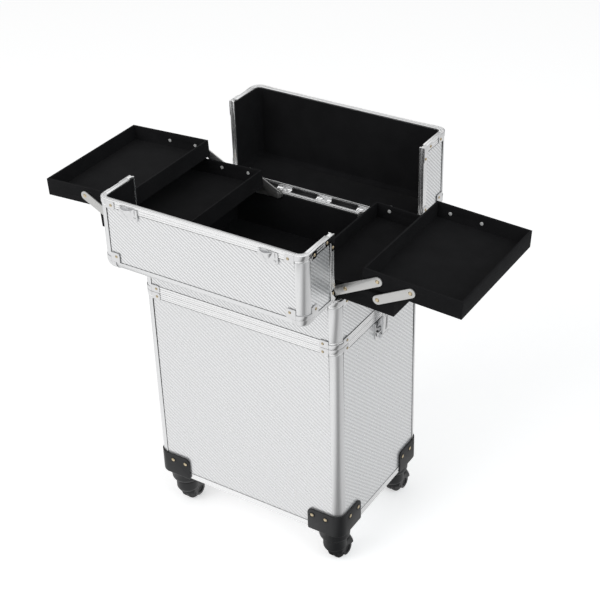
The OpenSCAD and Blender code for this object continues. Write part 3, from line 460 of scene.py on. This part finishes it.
# extrude faces and move the new ones
def pushFaces(shape, faces, way, keep):
    made = bmesh.ops.extrude_face_region(shape, geom=faces, use_keep_orig=keep)["geom"]
    moved = [item for item in made if isinstance(item, bmesh.types.BMVert)]
    bmesh.ops.translate(shape, verts=moved, vec=way)


# dark strips that cover the gap round each wall panel: a painted shadow, a dark sheet laid where the seam has only
# shade

seamShadow = {"seam": 0.00042, "cover": 0.0007, "height": 0.0003,
        "nodes": ["lower_panels", "base_panels", "front_lid_panels", "rear_lid_panels"]}


def paintPanelSeamShadows(node):
    low, high = (Vector(corner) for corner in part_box(node))
    middle = (low + high) / 2
    lid = "lid" in node
    seam_shadows = bmesh.new()
    for boxLow, boxHigh in solidBoxes(node):
        axis, direction = outward(boxLow, boxHigh, middle)
        if axis == 2 and not lid:
            continue
        centre = (boxLow + boxHigh) / 2
        centre[axis] = boxHigh[axis] if direction[axis] > 0 else boxLow[axis]
        ring = bmesh.new()
        bmesh.ops.create_grid(ring, x_segments=1, y_segments=1, size=0.5)
        spread = [boxHigh[k] - boxLow[k] + 2 * seamShadow["seam"] for k in range(3)]
        across = [k for k in range(3) if k != axis]
        for vert in ring.verts:
            place = centre.copy()
            place[across[0]] += vert.co.x * spread[across[0]]
            place[across[1]] += vert.co.y * spread[across[1]]
            vert.co = place
        inner = ring.faces[:]
        bmesh.ops.inset_region(ring, faces=inner, thickness=seamShadow["seam"] + seamShadow["cover"], use_boundary=True,
                               use_even_offset=True)
        bmesh.ops.delete(ring, geom=inner, context="FACES")
        pushFaces(ring, ring.faces[:], direction * seamShadow["height"], True)
        joinInto(seam_shadows, ring)
    finishPiece(seam_shadows, node.replace("panels", "seam_shadows"), bodyOf[node], finishes["seamShadow"])


for node in seamShadow["nodes"]:
    paintPanelSeamShadows(node)
print("panel seam_shadows laid")


# raised cups round the large guard rivets

cup = {"radius": 0.0041, "wire": 0.0008, "sides": 8, "turns": 28, "smallest": 0.006}


def guardCups():
    low, high = (Vector(corner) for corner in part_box("lower_rivets"))
    middle = (low + high) / 2
    cups = bmesh.new()
    for boxLow, boxHigh in solidBoxes("lower_rivets"):
        axis, direction = outward(boxLow, boxHigh, middle)
        if max(boxHigh - boxLow) < cup["smallest"]:
            continue
        centre = (boxLow + boxHigh) / 2
        centre[axis] = boxLow[axis] if direction[axis] > 0 else boxHigh[axis]
        place = Matrix.Translation(centre) @ turnTo(direction)
        upright = Matrix.Translation((cup["radius"], 0, 0)) @ Matrix.Rotation(math.radians(90), 4, "X")
        ring = bmesh.ops.create_circle(cups, segments=cup["sides"], radius=cup["wire"], matrix=place @ upright)
        edges = list({edge for vert in ring["verts"] for edge in vert.link_edges})
        bmesh.ops.spin(cups, geom=ring["verts"] + edges, cent=centre, axis=direction, angle=math.tau,
                       steps=cup["turns"], use_merge=True)
    for face in cups.faces:
        face.smooth = True
    finishPiece(cups, "guard_rivet_cups", "trolley", finishes["plastic"])


guardCups()
print("guard cups set")


# black strips that fill the gap along the lid hinges, a stretch between each two hinges

gapStrip = {"tongueIn": 0.002, "tongueHigh": 0.0012, "lap": 0.005, "sink": 0.0003, "thick": 0.0004,
        "end": 0.027, "clear": 0.001, "turns": 6}


# stretches of x between the hinges on one side
def hingeGaps(side, low, high):
    leaves = [pair for pair in solidBoxes("base_hinge_leaves") if side * pair[0].y > 0]
    taken = [(boxLow.x, boxHigh.x) for boxLow, boxHigh in leaves]
    ends = [low]
    for left, right in sorted(taken):
        ends += [left - gapStrip["clear"], right + gapStrip["clear"]]
    ends.append(high)
    return [pair for pair in zip(ends[::2], ends[1::2]) if pair[1] - pair[0] > gapStrip["end"]]


def hingeGapStrip(lid, side):
    baseLow, baseHigh = (Vector(corner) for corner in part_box("base_rims"))
    lidLow, lidHigh = (Vector(corner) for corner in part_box(lid + "_rim"))
    edge = baseHigh.y
    top = baseHigh.z - gapStrip["tongueHigh"] + gapStrip["sink"] + gapStrip["thick"]
    face = (lidLow.y if side > 0 else -lidHigh.y) - gapStrip["sink"] - gapStrip["thick"]
    foot = lidLow.z + gapStrip["lap"] / 4
    path = [(edge - gapStrip["tongueIn"], top)]
    for k in range(gapStrip["turns"] + 1):
        angle = math.radians(90) * k / gapStrip["turns"]
        path.append((edge + (face - edge) * math.sin(angle), top + (foot - top) * (1 - math.cos(angle))))
    path.append((face, lidLow.z + gapStrip["lap"]))
    shape = bmesh.new()
    for left, right in hingeGaps(side, baseLow.x + gapStrip["end"], baseHigh.x - gapStrip["end"]):
        line = [shape.verts.new((left, side * y, z)) for y, z in path]
        edges = [shape.edges.new(pair) for pair in zip(line, line[1:])]
        strip = bmesh.ops.extrude_edge_only(shape, edges=edges)["geom"]
        moved = [item for item in strip if isinstance(item, bmesh.types.BMVert)]
        bmesh.ops.translate(shape, verts=moved, vec=(right - left, 0, 0))
    bmesh.ops.recalc_face_normals(shape, faces=shape.faces)
    bmesh.ops.solidify(shape, geom=shape.faces[:], thickness=gapStrip["thick"])
    for item in shape.faces:
        item.smooth = True
    piece = finishPiece(shape, lid + "_hinge_gap_strip", None, finishes["wheel"])
    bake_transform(piece)


hingeGapStrip("front_lid", -1)
hingeGapStrip("rear_lid", 1)
print("hinge gapStrips laid")


# cross-slotted screws through the brackets of the pull handle

screw = {"radius": 0.0034, "height": 0.0015, "round": 0.0007, "rim": 0.0007, "slot": 0.0011,
         "deep": 0.0009, "sides": 28, "apart": 0.05}


# faces of the flat top inside its rim
def screwTop(head):
    reach = screw["radius"] - screw["round"] - screw["rim"] / 2
    return [face for face in head.faces
            if min(vert.co.z for vert in face.verts) > screw["height"] - 1e-6
            and max(vert.co.xy.length for vert in face.verts) < reach]


def screwHead(shape, centre, direction):
    head = bmesh.new()
    bmesh.ops.create_circle(head, segments=screw["sides"], radius=screw["radius"], cap_ends=True)
    pushFaces(head, head.faces[:], (0, 0, screw["height"]), True)
    lip = [edge for edge in head.edges if all(vert.co.z > screw["height"] / 2 for vert in edge.verts)]
    bmesh.ops.bevel(head, geom=lip, offset=screw["round"], affect="EDGES", segments=3, profile=0.5,
                    material=-1)
    top = max(head.faces, key=lambda face: face.calc_center_median().z)
    bmesh.ops.inset_region(head, faces=[top], thickness=screw["rim"])
    for axis in (Vector((1, 0, 0)), Vector((0, 1, 0))):
        for side in (-1, 1):
            flat = screwTop(head)
            edges = {edge for face in flat for edge in face.edges}
            verts = {vert for face in flat for vert in face.verts}
            bmesh.ops.bisect_plane(head, geom=[*flat, *edges, *verts],
                                   plane_co=axis * side * screw["slot"] / 2, plane_no=axis)
    cross = [face for face in screwTop(head)
             if min(abs(value) for value in face.calc_center_median().xy) < screw["slot"] / 2]
    pushFaces(head, cross, (0, 0, -screw["deep"]), False)
    bmesh.ops.delete(head, geom=cross, context="FACES")
    bmesh.ops.transform(head, matrix=Matrix.Translation(centre) @ turnTo(direction), verts=head.verts)
    joinInto(shape, head)


def bracketScrews():
    shape = bmesh.new()
    brackets = [pair for pair in solidBoxes("handle_sleeves") if pair[1].x - pair[0].x > screw["apart"]]
    for low, high in brackets:
        for side in (-1, 1):
            centre = Vector((side * screw["apart"] / 2, high.y, (low.z + high.z) / 2))
            screwHead(shape, centre, Vector((0, 1, 0)))
    finishPiece(shape, "handle_bracket_screws", "trolley", finishes["chrome"])


bracketScrews()
print("bracket screws set")


# moulded rings round the carry handle

carryRing = {"gripRadius": 0.0075, "wire": 0.0007, "sides": 8, "turns": 32, "count": 13, "step": 0.005}


def carryRings():
    low, high = (Vector(corner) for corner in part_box("carry_handle"))
    shape = bmesh.new()
    for k in range(carryRing["count"]):
        along = (k - carryRing["count"] // 2) * carryRing["step"]
        centre = Vector((along, (low.y + high.y) / 2, low.z + carryRing["gripRadius"]))
        place = Matrix.Translation(centre + Vector((0, carryRing["gripRadius"], 0)))
        wire = bmesh.ops.create_circle(shape, segments=carryRing["sides"], radius=carryRing["wire"], matrix=place)
        edges = list({edge for vert in wire["verts"] for edge in vert.link_edges})
        bmesh.ops.spin(shape, geom=wire["verts"] + edges, cent=centre, axis=(1, 0, 0), angle=math.tau,
                       steps=carryRing["turns"], use_merge=True)
    for face in shape.faces:
        face.smooth = True
    finishPiece(shape, "carry_grip_rings", bodyOf["carry_handle"], finishes["plastic"])


carryRings()
print("carry rings set")


# ridges across the back of the pull grip

ridge = {"count": 9, "step": 0.008, "wide": 0.003, "high": 0.009, "rise": 0.0006, "round": 0.00025,
         "below": 0.003}


def pullRidges():
    low, high = (Vector(corner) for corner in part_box("pull_grip"))
    shape = bmesh.new()
    for k in range(ridge["count"]):
        along = (k - ridge["count"] // 2) * ridge["step"]
        centre = Vector((along, high.y, high.z - ridge["below"] - ridge["high"] / 2))
        bar = bmesh.new()
        bmesh.ops.create_grid(bar, x_segments=1, y_segments=1, size=0.5)
        bmesh.ops.scale(bar, vec=(ridge["wide"], ridge["high"], 1), verts=bar.verts)
        pushFaces(bar, bar.faces[:], (0, 0, ridge["rise"]), True)
        upper = [edge for edge in bar.edges if any(vert.co.z > ridge["rise"] / 2 for vert in edge.verts)]
        bmesh.ops.bevel(bar, geom=upper, offset=ridge["round"], affect="EDGES", segments=2, profile=0.5,
                        material=-1)
        place = Matrix.Translation(centre) @ Matrix.Rotation(math.radians(-90), 4, "X")
        bmesh.ops.transform(bar, matrix=place, verts=bar.verts)
        joinInto(shape, bar)
    finishPiece(shape, "pull_grip_ridges", bodyOf["pull_grip"], finishes["plastic"])


pullRidges()
print("grip ridges set")


# studio: white floor and soft light

studio = {
    "floorSize": 40.0,
    "floorColour": (0.93, 0.93, 0.93),
    "floorGlow": 0.48,
    "skyStrength": 0.42,
    "horizon": 0.3,
    "floorSides": {-180: 0.98, -72: 0.98, -52: 0.66, -42: 0.24, -28: 0.24, -16: 0.6, 30: 0.7, 70: 0.78, 180: 0.72},
}


# one strength for the camera, one for reflections and one for all other light
def strengthByRay(tree, ray, cameraLevel, glossyLevel, elseLevel):
    seen = maths(tree, "MAXIMUM", ray.outputs["Is Camera Ray"], ray.outputs["Is Transmission Ray"])
    glossy = maths(tree, "MULTIPLY", ray.outputs["Is Glossy Ray"], glossyLevel)
    known = maths(tree, "MAXIMUM", seen, ray.outputs["Is Glossy Ray"])
    rest = maths(tree, "MULTIPLY", maths(tree, "SUBTRACT", 1.0, known), elseLevel)
    return maths(tree, "ADD", maths(tree, "ADD", maths(tree, "MULTIPLY", seen, cameraLevel), glossy), rest)


# level of the floor in reflections by compass direction, so that round corners show a dark side
def floorSides(tree):
    coords = addNode(tree, "ShaderNodeTexCoord")
    split = addNode(tree, "ShaderNodeSeparateXYZ")
    tree.links.new(coords.outputs["Object"], split.inputs[0])
    bearing = maths(tree, "ARCTAN2", split.outputs["Y"], split.outputs["X"])
    ramp = addNode(tree, "ShaderNodeValToRGB")
    tree.links.new(remap(tree, bearing, -math.pi, math.pi, 0, 1), ramp.inputs[0])
    stops = ramp.color_ramp.elements
    while len(stops) < len(studio["floorSides"]):
        stops.new(0.5)
    for stop, (degrees, level) in zip(stops, studio["floorSides"].items()):
        stop.position = (degrees + 180) / 360
        stop.color = (level, level, level, 1)
    return ramp.outputs["Color"]


# white floor; reflections see only its glow, darker on one side
def makeFloor():
    mesh = bpy.data.meshes.new("studioFloor")
    shape = bmesh.new()
    bmesh.ops.create_grid(shape, x_segments=1, y_segments=1, size=studio["floorSize"] / 2)
    shape.to_mesh(mesh)
    shape.free()
    floor = bpy.data.objects.new("studioFloor", mesh)
    scene.collection.objects.link(floor)
    finish, tree, shader = newFinish("studioFloor")
    sides = floorSides(tree)
    ray = addNode(tree, "ShaderNodeLightPath")
    colour = blendColour(tree, ray.outputs["Is Glossy Ray"], studio["floorColour"], (0, 0, 0))
    tree.links.new(colour, shader.inputs["Base Color"])
    shader.inputs["Roughness"].default_value = 0.9
    shader.inputs["Specular IOR Level"].default_value = 0.0
    shader.inputs["Emission Color"].default_value = (1, 1, 1, 1)
    tree.links.new(strengthByRay(tree, ray, studio["floorGlow"], sides, 0.0), shader.inputs["Emission Strength"])
    mesh.materials.append(finish)


# white to the camera, and in reflections bright overhead and dimmer towards the horizon
def makeSky():
    world = bpy.data.worlds.new("studioSky")
    scene.world = world
    world.use_nodes = True
    tree = world.node_tree
    tree.nodes.clear()
    out = addNode(tree, "ShaderNodeOutputWorld")
    sky = addNode(tree, "ShaderNodeBackground", {"Color": (1, 1, 1, 1)})
    coords = addNode(tree, "ShaderNodeTexCoord")
    split = addNode(tree, "ShaderNodeSeparateXYZ")
    tree.links.new(coords.outputs["Generated"], split.inputs[0])
    glossy = remap(tree, split.outputs["Z"], 0.1, 0.7, studio["horizon"], 1.0)
    ray = addNode(tree, "ShaderNodeLightPath")
    tree.links.new(strengthByRay(tree, ray, 1.0, glossy, studio["skyStrength"]), sky.inputs["Strength"])
    tree.links.new(sky.outputs[0], out.inputs["Surface"])


def makeLamp(name, place, aim, size, power, colour):
    data = bpy.data.lights.new(name, "AREA")
    data.shape = "SQUARE"
    data.size = size
    data.energy = power
    data.color = colour
    lamp = bpy.data.objects.new(name, data)
    scene.collection.objects.link(lamp)
    lamp.location = place
    lamp.rotation_euler = (Vector(aim) - Vector(place)).to_track_quat("-Z", "Y").to_euler()
    lamp.visible_glossy = False


makeFloor()
makeSky()
makeLamp("keyLamp", (-1.2, -2.6, 2.2), (0, 0, 0.35), 2.4, 46, (1, 1, 1))
makeLamp("sideLamp", (2.6, -0.6, 1.9), (0, 0, 0.35), 2.0, 28, (0.9, 0.97, 1))
print("studio lit")
